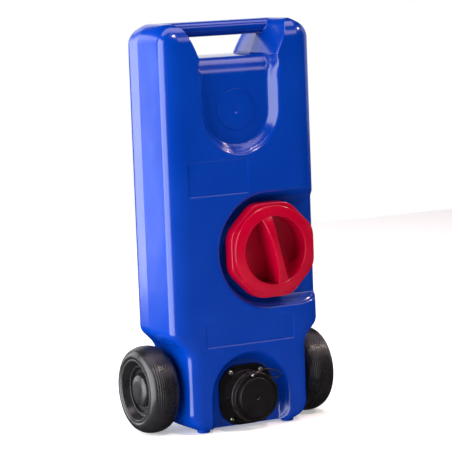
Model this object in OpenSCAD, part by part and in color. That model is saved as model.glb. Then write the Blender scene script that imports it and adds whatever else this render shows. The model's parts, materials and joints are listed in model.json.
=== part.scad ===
// Rolling waste-water tank: a blow-moulded shell that stands on two front feet and two wheels.
// The front face carries a screw inspection cap and a drain outlet with its own cap on a leash.
// Lengths are in millimetres. Depths run backwards from the front face of the tank.

/* [Tank shell] */
// Height of the top of the handle above the ground
tank_h = 768; // [700:1:900]
// Width of the tank
tank_w = 325; // [300:1:400]
// Depth of the tank from the front face to the back face
tank_d = 170; // [160:1:210]
// Depth of the front half, up to the parting plane
front_half = 94; // [85:1:110]
// Thickness of the moulded wall
wall = 3.5; // [2.5:0.5:5]
// Radius of the two top corners
top_r = 38; // [20:1:45]
// Radius of the front edge along the top
front_top_r = 42; // [20:1:50]
// Radius of the back edge along the top
back_top_r = 62; // [30:1:70]
// How far the sides lean in from the parting plane to each face
side_draft = 4; // [1:1:8]
// Width of the rounded front corners
corner_w = 45; // [20:1:50]
// Depth of the rounded front corners
corner_d = 22; // [15:1:60]
// Radius of the back corners
back_r = 40; // [20:1:60]

/* [Lower block] */
// Width of the lower block between the wheels
leg_w = 262; // [240:1:270]
// Height of the underside of the tank above the ground
base_z = 5; // [4:1:12]
// Radius of the bottom corners seen from the front
leg_r = 36; // [20:1:45]
// Height where the lower block starts to widen
hip_z = 140; // [130:1:170]
// Radius of the hollow curve above the lower block
hip_r = 42; // [10:1:50]
// Radius of the outer curve of the shoulders
shoulder_r = 22; // [10:1:30]
// Radius of the front edge along the bottom
front_bottom_r = 22; // [10:1:30]
// Half the distance between the two feet
foot_x = 92; // [60:1:95]
// Radius of each foot
foot_r = 12; // [8:1:18]
// Depth of the middle of each foot
foot_d = 30; // [28:1:45]

/* [Handle] */
// Height of the handle bar
bar_h = 29; // [24:1:36]
// Depth of the handle bar
bar_d = 44; // [34:1:54]
// Height of the hand gap under the bar
grip_gap = 37; // [32:1:50]
// Width of each horn at the foot of the hand gap
horn_w = 84; // [70:1:95]
// How far the sides of the hand gap lean out, in degrees
horn_lean = 25; // [0:1:28]
// Radius of the inner top corners beside the bar
horn_r = 20; // [10:1:24]
// Radius of the ledge under the hand gap
ledge_r = 38; // [20:1:45]

/* [Front recesses] */
// Half width of the bib recess below the handle
bib_r = 83; // [70:1:90]
// Height of the middle of the bib recess
bib_z = 604; // [560:1:620]
// Depth of the bib recess
bib_depth = 20; // [12:1:26]
// How far the sloped wall of each recess runs in per millimetre of depth
wall_slope = 0.75; // [0.3:0.05:1]
// Radius of the round boss in the bib
boss_r = 38.5; // [25:0.5:45]
// Radius of the dimple in the middle of the boss
dimple_r = 8; // [4:0.5:12]
// Depth of the two label panels
panel_depth = 1.2; // [0.6:0.2:2]
// Width of the upper label panel
upper_panel_w = 128; // [60:1:140]
// Height of the upper label panel
upper_panel_h = 67; // [30:1:70]
// Width of the lower label panel
lower_panel_w = 191; // [80:1:200]
// Height of the lower label panel
lower_panel_h = 46.5; // [20:0.5:48]

/* [Inspection opening] */
// Distance of the opening to the right of the middle
cap_x = 52; // [40:1:60]
// Height of the middle of the opening
cap_z = 336.5; // [320:0.5:360]
// Radius of the pocket around the cap
pocket_r = 110; // [104:1:116]
// Depth of the pocket
pocket_depth = 25; // [20:1:30]
// Radius of the opening through the neck
neck_bore_r = 69; // [60:0.5:72]
// Wall of the neck
neck_wall = 5; // [4:0.5:7]
// Length of the neck in front of the pocket floor
neck_len = 34; // [26:1:40]
// Height of the thread ridges
thread_h = 2.2; // [1.5:0.1:2.6]
// Distance between two thread ridges
thread_pitch = 8; // [6:0.5:9]

/* [Inspection cap] */
// Distance between the middle and a flat of the cap skirt
skirt_flat_r = 89; // [86:0.5:92]
// Length of the cap skirt
skirt_len = 24; // [18:1:26]
// Radius of the front ring of the cap
ring_r = 85; // [82:0.5:86]
// Gap between the wall of the cup and the neck
cup_gap = 1.5; // [0.5:0.5:6]
// Depth of the cup
cup_depth = 38; // [25:1:40]
// Wall thickness of the cap
cap_wall = 3; // [2.5:0.5:4]
// Width of the grip bar across the cup
grip_w = 14; // [10:1:20]
// How far the grip bar stands in front of the cup mouth
grip_proud = 9; // [4:1:12]
// Lean of the grip bar
grip_lean = 14; // [0:1:45]
// Thickness of the cap gasket
gasket_t = 3; // [2:0.5:4]

/* [Drain outlet] */
// Height of the middle of the outlet
outlet_z = 63; // [62:0.5:66]
// Radius of the recess around the outlet
arch_r = 83.5; // [78:0.5:90]
// Depth of the recess around the outlet
arch_depth = 25; // [22:1:30]
// Half width of the flange plate
flange_half = 57; // [55:0.5:58]
// Corner radius of the flange plate
flange_corner = 42; // [36:1:46]
// Thickness of the flange plate
flange_t = 3; // [2.5:0.5:5]
// Thickness of the flange gasket
flange_gasket_t = 2; // [1:0.5:3]
// Radius of the outlet bore
spigot_bore_r = 36; // [30:0.5:37]
// Outer radius of the outlet spigot
spigot_r = 41; // [40:0.5:41.5]
// Length of the spigot in front of the flange
spigot_len = 33; // [26:1:36]
// Radius of the outlet cap's rim
outlet_cap_r = 46.5; // [46:0.5:50]
// Length of the outlet cap's rim band
rim_band = 9; // [6:1:12]
// Radius of the raised disc on the outlet cap
disc_r = 36.75; // [30:0.25:38]
// Height of the raised disc on the outlet cap
disc_h = 5; // [2:0.5:6]
// Wall thickness of the outlet cap
outlet_cap_wall = 3; // [2.5:0.5:4]
// Distance of the flange screws from the middle, sideways
screw_x = 32; // [28:1:34]
// Distance of the flange screws from the middle, up and down
screw_z = 44.5; // [40:0.5:45]
// Shank radius of the flange screws
screw_r = 2.5; // [2:0.25:3]
// Thickness of the leash
leash_d = 2.4; // [2:0.2:3]

/* [Wheels] */
// Outer radius of the tyres
tyre_r = 82.7; // [78:0.1:84]
// Depth of the axle behind the front face
axle_d = 95; // [90:1:110]
// Overall width across the tyres
track_w = 397; // [390:1:410]
// Width of each tyre
tyre_w = 60; // [56:1:64]
// Radius of the rim under the tyre
rim_r = 58; // [50:1:60]
// Radius of the axle
axle_r = 6; // [5:0.5:7]
// Radius of the hub caps
hub_cap_r = 31; // [28:1:34]

/* [Hidden] */

$fn = 96;
steps = 6;             // straight pieces in each rounded corner of an outline
past = 5;              // how far a large cutting shape runs past the face it cuts
over = 1;              // how far a hole's cutter runs past each face
hole_slack = 0.25;     // radial clearance of the screws in their holes
run_fit = 0.05;        // radial clearance of a running fit
slip = 0.4;            // clearance between pieces that turn or lift past each other
blue = [0.02, 0.16, 0.62];
red = [0.78, 0.02, 0.14];
black = [0.1, 0.1, 0.11];

axle_z = tyre_r;
// the cup mouth, the ring edge and the skirt follow the neck's front rim
neck_front = pocket_depth - neck_len;
cap_under = neck_front - gasket_t;
ring_front = cap_under - cap_wall - 2;
mouth_front = ring_front - 4;
skirt_front = cap_under;
grip_front = mouth_front - grip_proud;
// the outlet cap follows the flange face and the spigot
flange_front = arch_depth - flange_gasket_t - flange_t;
spigot_front = flange_front - spigot_len;
seal_t = 3;
outlet_under = spigot_front - seal_t;
outlet_face = outlet_under - outlet_cap_wall;
// the object is centred front to back between the foremost and hindmost points
foremost = min(grip_front, outlet_face - disc_h);
hindmost = max(axle_d + tyre_r, tank_d);
front_y = -(foremost + hindmost) / 2;
// heights of the handle
ledge_top = tank_h - bar_h - grip_gap;
ledge_low = ledge_top - ledge_r;
grip_half = tank_w / 2 - horn_w;
// middle of the arc that joins the leaning side of the gap to the top of the horn
horn_mid = grip_half + (bar_h + grip_gap - horn_r) * tan(horn_lean) + horn_r / cos(horn_lean);

function arc(c, rx, ry, a0, a1) =
  [for (i = [0:steps]) let (a = a0 + (a1 - a0) * i / steps) [c[0] + rx * cos(a), c[1] + ry * sin(a)]];
function mirrored(half) =
  concat(half, [for (i = [len(half) - 1:-1:0]) [-half[i][0], half[i][1]]]);

// moves a shape from depths behind the front face to the object's own frame
module placed() translate([0, front_y, 0]) children();
// turns a shape drawn along +Z so that it runs backwards, with its own +Y upwards
module facing_front() mirror([0, 1, 0]) rotate([90, 0, 0]) children();
// turns a shape drawn along +Z so that it runs to the right
module across() rotate([90, 0, 90]) children();

// ---- outlines of the tank, each set in by t ----
function shoulder_z() = hip_z + (tank_w - leg_w) / 2 + (sqrt(2) - 1) * (hip_r + shoulder_r);
function upper_outline(t) = mirrored(concat(
  arc([leg_w / 2 + hip_r, hip_z], hip_r + t, hip_r + t, 180, 135),
  arc([tank_w / 2 - shoulder_r, shoulder_z()], shoulder_r - t, shoulder_r - t, -45, 0),
  arc([tank_w / 2 - top_r, tank_h - top_r], top_r - t, top_r - t, 0, 90)));
function leg_outline(t) = mirrored(concat(
  arc([leg_w / 2 - leg_r, base_z + leg_r], leg_r - t, leg_r - t, -90, 0),
  [[leg_w / 2 - t, hip_z + hip_r]]));
function side_outline(t) = concat(
  arc([front_bottom_r, base_z + front_bottom_r], front_bottom_r - t, front_bottom_r - t, 180, 270),
  arc([axle_d, axle_z], tank_d - axle_d - t, axle_z - base_z - t, 270, 360),
  arc([tank_d - back_top_r, tank_h - back_top_r], back_top_r - t, back_top_r - t, 0, 90),
  arc([front_top_r, tank_h - front_top_r], front_top_r - t, front_top_r - t, 90, 180));
function plan_outline(w, t) = mirrored(concat(
  arc([w / 2 - side_draft - corner_w, corner_d], corner_w - t, corner_d - t, -90, 0),
  [[w / 2 - t, front_half]],
  arc([w / 2 - side_draft - back_r, tank_d - back_r], back_r - t, back_r - t, 0, 90)));

// one block of the shell: its front outline, cut by its plan and by the side outline
module block(front_points, w, t) {
  intersection() {
    facing_front() linear_extrude(tank_d) polygon(front_points);
    linear_extrude(tank_h) polygon(plan_outline(w, t));
    translate([-tank_w / 2, 0, 0]) across() linear_extrude(tank_w) polygon(side_outline(t));
  }
}
module shell_form(t) {
  block(upper_outline(t), tank_w, t);
  block(leg_outline(t), leg_w, t);
}

// ---- recesses, each grown by g ----
// half width of a sloped recess at depth d, from its half width r at the front face
function half_at(r, g, d) = r + g - wall_slope * d;
module round_recess(r, depth, g) {
  translate([0, -past, 0]) facing_front()
    cylinder(h = depth + g + past, r1 = half_at(r, g, -past), r2 = half_at(r, g, depth + g));
}
function recess_section(r, depth, g) = mirrored([
  [half_at(r, g, -past), -past], [half_at(r, g, depth + g), depth + g]]);
module bib(g) {
  translate([0, 0, bib_z]) {
    round_recess(bib_r, bib_depth, g);
    linear_extrude(ledge_low + 1 - bib_z) polygon(recess_section(bib_r, bib_depth, g));
  }
}
module pocket(g) {
  translate([cap_x, 0, cap_z]) {
    round_recess(pocket_r, pocket_depth, g);
    rotate([0, 90, 0]) linear_extrude(tank_w / 2 + past - cap_x)
      polygon(recess_section(pocket_r, pocket_depth, g));
  }
}
module arch(g) {
  translate([0, 0, outlet_z]) {
    round_recess(arch_r, arch_depth, g);
    translate([0, 0, -outlet_z - past]) linear_extrude(outlet_z + past)
      polygon(recess_section(arch_r, arch_depth, g));
  }
}
// the sides rise from the foot of the gap, lean out and turn over into the top of each horn
module hand_window(g) {
  window_front = mirrored(concat(
    [[grip_half + g, ledge_low], [grip_half + g, ledge_top - g * tan(horn_lean / 2)]],
    arc([horn_mid, tank_h - horn_r], horn_r - g, horn_r - g, 180 - horn_lean, 90),
    [[horn_mid, tank_h + past]]));
  window_side = concat(
    [[-past, tank_h + past], [-past, ledge_low]],
    arc([bib_depth + ledge_r, ledge_low], ledge_r - g, ledge_r - g, 180, 90),
    [[tank_d + past, ledge_top - g], [tank_d + past, tank_h + past]]);
  intersection() {
    translate([0, -past, 0]) facing_front() linear_extrude(tank_d + 2 * past) polygon(window_front);
    translate([-tank_w / 2, 0, 0]) across() linear_extrude(tank_w) polygon(window_side);
  }
}
module handle_bar(t) {
  reach = horn_mid + over;
  half_d = bar_d / 2;
  half_h = bar_h / 2;
  round_r = half_h - 1;
  bar_section = concat(
    arc([half_d - round_r, half_h - round_r], round_r - t, round_r - t, 0, 90),
    arc([round_r - half_d, half_h - round_r], round_r - t, round_r - t, 90, 180),
    arc([round_r - half_d, round_r - half_h], round_r - t, round_r - t, 180, 270),
    arc([half_d - round_r, round_r - half_h], round_r - t, round_r - t, 270, 360));
  translate([-reach, front_half, tank_h - half_h]) across() linear_extrude(2 * reach) polygon(bar_section);
}

// ---- tank ----
upper_panel_at = [-53, 480];
lower_panel_at = [3, 185.5];
module label_panel(at, w, h) {
  translate([at[0] - w / 2, -past, at[1] - h / 2]) cube([w, past + panel_depth, h]);
}
module at_screws() {
  for (sx = [-1, 1], sz = [-1, 1])
    translate([sx * screw_x, 0, outlet_z + sz * screw_z]) facing_front() children();
}
boss_h = 1.5;
axle_boss_r = axle_r + 10;
axle_boss_l = 1;
tunnel_r = axle_r + 0.1;
first_ridge = 4;
ridge_w = 2.5;
module axle_line(r, half_len) {
  translate([-half_len, axle_d, axle_z]) across() cylinder(h = 2 * half_len, r = r);
}
module tank_outside() {
  difference() {
    shell_form(0);
    bib(0);
    hand_window(0);
    pocket(0);
    arch(0);
    label_panel(upper_panel_at, upper_panel_w, upper_panel_h);
    label_panel(lower_panel_at, lower_panel_w, lower_panel_h);
  }
  handle_bar(0);
  // round boss in the bib
  translate([0, bib_depth - boss_h, bib_z]) facing_front() difference() {
    cylinder(h = boss_h + wall / 2, r = boss_r);
    translate([0, 0, -over]) cylinder(h = 2 * over, r = dimple_r);
  }
  // neck with its thread ridges
  translate([cap_x, neck_front, cap_z]) facing_front() {
    cylinder(h = neck_len + wall / 2, r = neck_bore_r + neck_wall);
    for (i = [0:2]) translate([0, 0, first_ridge + i * thread_pitch])
      cylinder(h = ridge_w, r = neck_bore_r + neck_wall + thread_h);
  }
  // feet and the bosses beside the axle
  for (side = [-1, 1]) translate([side * foot_x, foot_d, 0]) cylinder(h = base_z + wall / 2, r = foot_r);
  axle_line(axle_boss_r, leg_w / 2 + axle_boss_l);
}
module tank_inside() {
  difference() {
    shell_form(wall);
    bib(wall);
    hand_window(wall);
    pocket(wall);
    arch(wall);
    axle_line(tunnel_r + wall, leg_w);
  }
  handle_bar(wall);
}
module tank_shell() {
  difference() {
    tank_outside();
    tank_inside();
    translate([cap_x, neck_front - over, cap_z]) facing_front()
      cylinder(h = neck_len + wall + 2 * over, r = neck_bore_r);
    translate([0, arch_depth - over, outlet_z]) facing_front()
      cylinder(h = wall + 2 * over, r = spigot_r + slip);
    translate([0, arch_depth - over, 0]) at_screws()
      cylinder(h = wall + 2 * over, r = screw_r + hole_slack);
    axle_line(tunnel_r, leg_w);
  }
}
// the shell is one moulding; its two halves meet face to face on the parting plane
module tank_half(from, to) {
  color(blue) placed() intersection() {
    tank_shell();
    translate([-tank_w, from, -past]) cube([2 * tank_w, to - from, tank_h + 2 * past]);
  }
}
module tank_front() tank_half(neck_front - past, front_half);
module tank_rear() tank_half(front_half, tank_d + past);

// ---- inspection cap ----
skirt_bore_r = neck_bore_r + neck_wall + thread_h + 0.8;
cup_r = neck_bore_r - cap_wall - cup_gap;
cup_foot_r = cup_r - 3;
module at_cap() placed() translate([cap_x, 0, cap_z]) facing_front() children();
module inspection_cap() {
  cup_back = mouth_front + cup_depth;
  color(red) at_cap() {
    // ring, cup wall and cup floor in one turned section
    rotate_extrude() polygon([
      [0, cup_back], [cup_foot_r, cup_back], [cup_r, mouth_front + 1], [cup_r + 1, mouth_front],
      [ring_r - 3, ring_front], [ring_r, ring_front + 2], [ring_r + 1, cap_under],
      [cup_r + cap_wall, cap_under], [cup_foot_r + cap_wall, cup_back + cap_wall],
      [0, cup_back + cap_wall]]);
    // eight-sided skirt with its corners turned off
    translate([0, 0, skirt_front]) difference() {
      intersection() {
        rotate([0, 0, 22.5]) cylinder(h = skirt_len, r = skirt_flat_r / cos(22.5), $fn = 8);
        cylinder(h = skirt_len, r = skirt_flat_r + 4);
      }
      translate([0, 0, -over]) cylinder(h = skirt_len + 2 * over, r = skirt_bore_r);
      // the skirt is hollow between its threaded inner wall and its outer wall
      translate([0, 0, cap_wall]) difference() {
        cylinder(h = skirt_len, r = skirt_flat_r - cap_wall);
        translate([0, 0, -over]) cylinder(h = skirt_len + 2 * over, r = skirt_bore_r + cap_wall);
      }
    }
    translate([0, 0, cap_under - cap_wall]) difference() {
      cylinder(h = cap_wall, r = skirt_flat_r - 1);
      translate([0, 0, -over]) cylinder(h = cap_wall + 2 * over, r = cup_r + cap_wall);
    }
    // grip bar across the cup, crowned along its length
    rotate([0, 0, grip_lean]) translate([-grip_w / 2, 0, 0]) across() linear_extrude(grip_w)
      polygon(concat(
        arc([0, mouth_front + 2], cup_foot_r, grip_proud + 2, 180, 360),
        [[cup_foot_r, cup_back + 1], [-cup_foot_r, cup_back + 1]]));
  }
}
module cap_gasket() {
  color(black) at_cap() translate([0, 0, cap_under + slip]) difference() {
    cylinder(h = gasket_t - 2 * slip, r = neck_bore_r + neck_wall);
    translate([0, 0, -over]) cylinder(h = gasket_t + 2 * over, r = neck_bore_r + slip);
  }
}

// ---- drain outlet ----
module at_outlet() placed() translate([0, 0, outlet_z]) facing_front() children();
module plate(half, corner_r, t) {
  linear_extrude(t) {
    for (sx = [-1, 1], sy = [-1, 1]) translate([sx, sy] * (half - corner_r)) circle(r = corner_r);
    square([2 * half, 2 * (half - corner_r)], center = true);
    square([2 * (half - corner_r), 2 * half], center = true);
  }
}
module screw_holes() {
  for (sx = [-1, 1], sz = [-1, 1]) translate([sx * screw_x, sz * screw_z, -over])
    cylinder(h = flange_t + 2 * over, r = screw_r + hole_slack);
}
collar_r = spigot_r + 6;
collar_len = 6;
pin_r = 2.5;
pin_len = 7.5;
pin_depth = spigot_front + 22;
anchor_at = [47, 27];
anchor_pin_r = 1.5;
anchor_head_r = 3.4;
anchor_head_t = 2;
spigot_back = 8;       // how far the spigot runs on inside the tank
module outlet_flange() {
  color(black) at_outlet() difference() {
    union() {
      translate([0, 0, flange_front]) plate(flange_half, flange_corner, flange_t);
      translate([0, 0, spigot_front])
        cylinder(h = spigot_len + flange_t + flange_gasket_t + wall + spigot_back, r = spigot_r);
      translate([0, 0, flange_front - collar_len]) cylinder(h = collar_len + flange_t / 2, r = collar_r);
      // bayonet pins
      for (a = [0:90:270]) rotate([0, 0, a]) translate([spigot_r - over, 0, pin_depth])
        rotate([0, 90, 0]) cylinder(h = pin_len, r = pin_r);
    }
    translate([0, 0, spigot_front - over]) cylinder(h = 3 * spigot_len, r = spigot_bore_r);
    translate([0, 0, flange_front]) screw_holes();
    translate([anchor_at[0], anchor_at[1], flange_front - over])
      cylinder(h = flange_t + 2 * over, r = anchor_pin_r + 0.1);
  }
}
module flange_gasket() {
  color([0.16, 0.16, 0.17]) at_outlet() translate([0, 0, arch_depth - flange_gasket_t]) difference() {
    plate(flange_half - 1, flange_corner - 1, flange_gasket_t);
    translate([0, 0, -over]) cylinder(h = flange_gasket_t + 2 * over, r = spigot_r + slip);
    screw_holes();
  }
}
washer_t = 1.2;
washer_r = 4.6;
nut_t = 4;
nut_r = 4.6;
head_r = 4.6;
head_t = 2;
wall_inside = arch_depth + wall;
module flange_screws() {
  color([0.8, 0.8, 0.78]) placed() at_screws() {
    translate([0, 0, flange_front - head_t]) cylinder(h = head_t, r = head_r);
    translate([0, 0, flange_front - head_t - 1]) cylinder(h = 1, r1 = head_r - 1.6, r2 = head_r);
    translate([0, 0, flange_front - head_t / 2])
      cylinder(h = wall_inside + washer_t + nut_t + head_t - flange_front, r = screw_r);
  }
}
module flange_washers() {
  color([0.75, 0.75, 0.73]) placed() at_screws() translate([0, 0, wall_inside]) difference() {
    cylinder(h = washer_t, r = washer_r);
    translate([0, 0, -over]) cylinder(h = washer_t + 2 * over, r = screw_r + hole_slack);
  }
}
module flange_nuts() {
  color([0.7, 0.7, 0.68]) placed() at_screws() translate([0, 0, wall_inside + washer_t]) difference() {
    cylinder(h = nut_t, r = nut_r, $fn = 6);
    translate([0, 0, -over]) cylinder(h = nut_t + 2 * over, r = screw_r);
  }
}
sleeve_r = outlet_cap_r - 1.4;
sleeve_back = outlet_face + rim_band + 9;
gate_r = 4.5;
lug_angle = 19;
lug_w = 6;
lug_h = 3.5;
module outlet_cap() {
  color(black) at_outlet() {
    rotate_extrude() polygon([
      [0, outlet_face - disc_h + 1], [gate_r, outlet_face - disc_h + 1],
      [gate_r, outlet_face - disc_h],
      [disc_r - 1, outlet_face - disc_h], [disc_r, outlet_face - disc_h + 1], [disc_r, outlet_face],
      [outlet_cap_r - 1, outlet_face], [outlet_cap_r, outlet_face + 1],
      [outlet_cap_r, outlet_face + rim_band], [sleeve_r, outlet_face + rim_band],
      [sleeve_r, sleeve_back], [spigot_r + slip, sleeve_back],
      [spigot_r + slip, outlet_under], [0, outlet_under]]);
    // four grip lugs on the rim
    for (a = [0:90:270]) rotate([0, 0, a + lug_angle])
      translate([outlet_cap_r - over, -lug_w / 2, outlet_face + 2])
        cube([lug_h + over, lug_w, rim_band - 3]);
  }
}
module outlet_cap_seal() {
  color([0.16, 0.16, 0.17]) at_outlet() translate([0, 0, outlet_under + slip]) difference() {
    cylinder(h = seal_t - 2 * slip, r = spigot_r);
    translate([0, 0, -over]) cylinder(h = seal_t + 2 * over, r = spigot_bore_r + slip);
  }
}
collar_wire_r = 1.2;
collar_line_r = sleeve_r + slip + collar_wire_r;
collar_depth = outlet_face + rim_band + slip + collar_wire_r;
tab_angle = 101;
tab_w = 5;
tab_t = 1.2;
tab_front = outlet_face - slip - tab_t;
knob_r = 2.6;
knob_t = 2.2;
knob_at = outlet_cap_r - 3;
module leash_collar() {
  tab_r = outlet_cap_r + slip;
  color([0.2, 0.16, 0.15]) at_outlet() {
    translate([0, 0, collar_depth]) rotate_extrude()
      translate([collar_line_r, 0]) circle(r = collar_wire_r, $fn = 24);
    // tab that runs forward over the rim and holds the knob of the leash
    rotate([0, 0, tab_angle]) {
      translate([tab_r, -tab_w / 2, tab_front]) cube([tab_t, tab_w, collar_depth - tab_front]);
      translate([knob_at - tab_w / 2, -tab_w / 2, tab_front])
        cube([tab_r + tab_t - knob_at + tab_w / 2, tab_w, tab_t]);
      translate([knob_at, 0, tab_front - knob_t]) cylinder(h = knob_t + tab_t / 2, r = knob_r, $fn = 32);
    }
  }
}

// ---- leash: each point is sideways, in depth and up from the middle of the outlet ----
anchor_face = flange_front - anchor_head_t;
leash_route = [
  [-7, tab_front - 1, 43], [2, -21.6, 46.5], [9, -20.6, 49.3], [17, -18.5, 50.8], [26, -15.5, 50.3],
  [35, -12, 48.5], [45, -8, 45.5], [54, -4.5, 42], [62, 0, 38], [67, 3.5, 33.5], [68, 7.5, 29.5],
  [65.5, 10.5, 27], [60, 12.5, 26], [54, 14, 26.3], [49, 15.5, 26.9],
  [anchor_at[0], anchor_face - 1.6, anchor_at[1]], [anchor_at[0], anchor_face - 0.5, anchor_at[1]]];
module cap_leash() {
  color([0.2, 0.16, 0.15]) placed() translate([0, 0, outlet_z]) tube(leash_route, leash_d / 2, 8);
}
function unit(v) = v / norm(v);
function dir_at(p, i) = unit(p[min(i + 1, len(p) - 1)] - p[max(i - 1, 0)]);
// corners of the ring at point i: two directions at right angles to the route, kept steady by a fixed one
function ring_at(p, i, r, n) =
  let (d = dir_at(p, i), u = unit(cross([0.1, 0.5, 0.86], d)), v = cross(d, u))
  [for (k = [0:n - 1]) p[i] + r * (cos(360 * k / n) * u + sin(360 * k / n) * v)];
function smooth_route(p) =
  [for (i = [0:len(p) - 2], s = [0:1])
    let (a = p[max(i - 1, 0)], b = p[i], c = p[i + 1], d = p[min(i + 2, len(p) - 1)], t = s / 2)
    0.5 * (2 * b + (c - a) * t + (2 * a - 5 * b + 4 * c - d) * t * t + (3 * b - a - 3 * c + d) * t * t * t)];
module tube(route, r, n) {
  p = concat(smooth_route(route), [route[len(route) - 1]]);
  m = len(p);
  rings = [for (i = [0:m - 1], c = ring_at(p, i, r, n)) c];
  sides = [for (i = [0:m - 2], k = [0:n - 1])
    [i * n + k, i * n + (k + 1) % n, (i + 1) * n + (k + 1) % n, (i + 1) * n + k]];
  first = [[for (k = [n - 1:-1:0]) k]];
  last = [[for (k = [0:n - 1]) (m - 1) * n + k]];
  polyhedron(rings, concat(sides, first, last));
}
module leash_anchor() {
  color([0.8, 0.8, 0.78]) at_outlet() translate([anchor_at[0], anchor_at[1], 0]) {
    translate([0, 0, anchor_face]) cylinder(h = anchor_head_t, r = anchor_head_r);
    translate([0, 0, anchor_face]) cylinder(h = anchor_head_t + flange_t, r = anchor_pin_r);
  }
}

// ---- wheels: sections are radius from the axle and distance from the middle of the object ----
outer_x = track_w / 2;
inner_x = outer_x - tyre_w;
boss_x = leg_w / 2 + axle_boss_l;
inner_washer_t = 1.6;
outer_washer_t = 1.3;
axle_washer_r = axle_r + 7;
push_nut_t = 2.8;
push_nut_r = axle_r + 5;
hub_r = axle_r + 10;
hub_in = boss_x + inner_washer_t + slip;
hub_out = outer_x - 19;
cap_seat = outer_x - 22;
axle_end = hub_out + slip + outer_washer_t + push_nut_t;
lip_x = outer_x - 4.5;
module at_wheel(side) {
  placed() translate([0, axle_d, axle_z]) mirror([side < 0 ? 1 : 0, 0, 0]) across() children();
}
module wheel_rim(side) {
  color(black) at_wheel(side) rotate_extrude() polygon([
    [axle_r + run_fit, hub_in], [hub_r, hub_in], [hub_r, cap_seat - 8], [rim_r - 6, cap_seat - 8],
    [rim_r - 4, inner_x + 3], [rim_r, inner_x + 3], [rim_r, lip_x], [rim_r + 2, lip_x],
    [rim_r + 2, outer_x - 1.5], [rim_r, outer_x - 1], [rim_r - 3, outer_x - 3],
    [rim_r - 10, cap_seat + 4], [rim_r - 12, cap_seat + 4], [rim_r - 13, cap_seat + 9],
    [rim_r - 15, cap_seat + 9], [rim_r - 16, cap_seat], [hub_r, cap_seat], [hub_r, hub_out],
    [axle_r + run_fit, hub_out]]);
}
module tyre(side) {
  shoulder_w = 20;
  bulge = tyre_r - rim_r;
  color(black) at_wheel(side) rotate_extrude() polygon(concat(
    [[rim_r, inner_x + 4]],
    arc([tyre_r - bulge * 0.66, inner_x + shoulder_w], bulge * 0.66, shoulder_w, 270, 360),
    arc([tyre_r - bulge * 0.66, outer_x - shoulder_w], bulge * 0.66, shoulder_w, 0, 90),
    [[rim_r + 3.5, outer_x - 0.5], [rim_r + 2.3, outer_x - 2], [rim_r + 2.3, lip_x - 0.3],
     [rim_r, lip_x - 0.3]]));
}
module hub_cap(side) {
  face = outer_x - 6.5;
  color(black) at_wheel(side) rotate_extrude() polygon([
    [hub_cap_r - 2, cap_seat], [hub_cap_r, cap_seat], [hub_cap_r, face - 4], [hub_cap_r - 2, face - 1.5],
    [hub_cap_r - 7, face], [0, face + 0.5], [0, face - 1.5], [hub_cap_r - 8, face - 2],
    [hub_cap_r - 3, face - 4], [hub_cap_r - 2, face - 6]]);
}
module wheel_rim_left() wheel_rim(-1);
module wheel_rim_right() wheel_rim(1);
module tyre_left() tyre(-1);
module tyre_right() tyre(1);
module hub_cap_left() hub_cap(-1);
module hub_cap_right() hub_cap(1);
module axle() color([0.6, 0.6, 0.62]) placed() axle_line(axle_r, axle_end);
module ring_on_axle(x, t, r_in, r_out) {
  for (side = [-1, 1]) at_wheel(side) translate([0, 0, x]) difference() {
    cylinder(h = t, r = r_out);
    translate([0, 0, -over]) cylinder(h = t + 2 * over, r = r_in);
  }
}
module axle_washers() {
  color([0.7, 0.7, 0.7]) {
    ring_on_axle(boss_x, inner_washer_t, tunnel_r, axle_washer_r);
    ring_on_axle(hub_out + slip, outer_washer_t, tunnel_r, axle_washer_r);
  }
}
module push_nuts() color([0.65, 0.66, 0.66])
  ring_on_axle(hub_out + slip + outer_washer_t, push_nut_t, axle_r, push_nut_r);

tank_front();
tank_rear();
inspection_cap();
cap_gasket();
outlet_flange();
flange_gasket();
flange_screws();
flange_washers();
flange_nuts();
outlet_cap();
outlet_cap_seal();
leash_collar();
cap_leash();
leash_anchor();
axle();
wheel_rim_left();
wheel_rim_right();
tyre_left();
tyre_right();
hub_cap_left();
hub_cap_right();
axle_washers();
push_nuts();
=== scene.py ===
import json
import math

import bpy
import numpy as np
from mathutils import Matrix, Vector

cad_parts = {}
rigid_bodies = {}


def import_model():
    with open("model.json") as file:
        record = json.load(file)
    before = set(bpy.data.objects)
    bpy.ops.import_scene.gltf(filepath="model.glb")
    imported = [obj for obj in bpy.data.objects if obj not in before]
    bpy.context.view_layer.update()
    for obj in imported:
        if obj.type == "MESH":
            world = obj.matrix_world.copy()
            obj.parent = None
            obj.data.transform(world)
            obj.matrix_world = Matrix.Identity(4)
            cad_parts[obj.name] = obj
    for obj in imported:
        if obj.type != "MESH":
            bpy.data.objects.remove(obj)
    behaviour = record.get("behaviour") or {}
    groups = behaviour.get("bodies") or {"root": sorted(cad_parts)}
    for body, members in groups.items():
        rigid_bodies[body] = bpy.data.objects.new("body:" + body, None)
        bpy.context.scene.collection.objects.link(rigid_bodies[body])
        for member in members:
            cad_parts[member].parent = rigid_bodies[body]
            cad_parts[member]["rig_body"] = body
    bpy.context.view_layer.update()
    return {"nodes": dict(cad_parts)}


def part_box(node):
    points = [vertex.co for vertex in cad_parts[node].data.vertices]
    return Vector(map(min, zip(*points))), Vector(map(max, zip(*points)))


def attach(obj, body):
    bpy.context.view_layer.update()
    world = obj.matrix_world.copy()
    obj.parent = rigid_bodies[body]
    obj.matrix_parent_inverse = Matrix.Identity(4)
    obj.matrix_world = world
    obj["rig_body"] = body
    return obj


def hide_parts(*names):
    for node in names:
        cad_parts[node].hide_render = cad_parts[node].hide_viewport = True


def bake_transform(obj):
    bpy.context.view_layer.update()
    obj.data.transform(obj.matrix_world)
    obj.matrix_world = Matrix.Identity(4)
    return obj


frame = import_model()
print("frame loaded")

# Lengths below are millimetres. A depth runs backwards from the front face of the tank.
mm = 0.001
turn = 2 * math.pi

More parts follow.
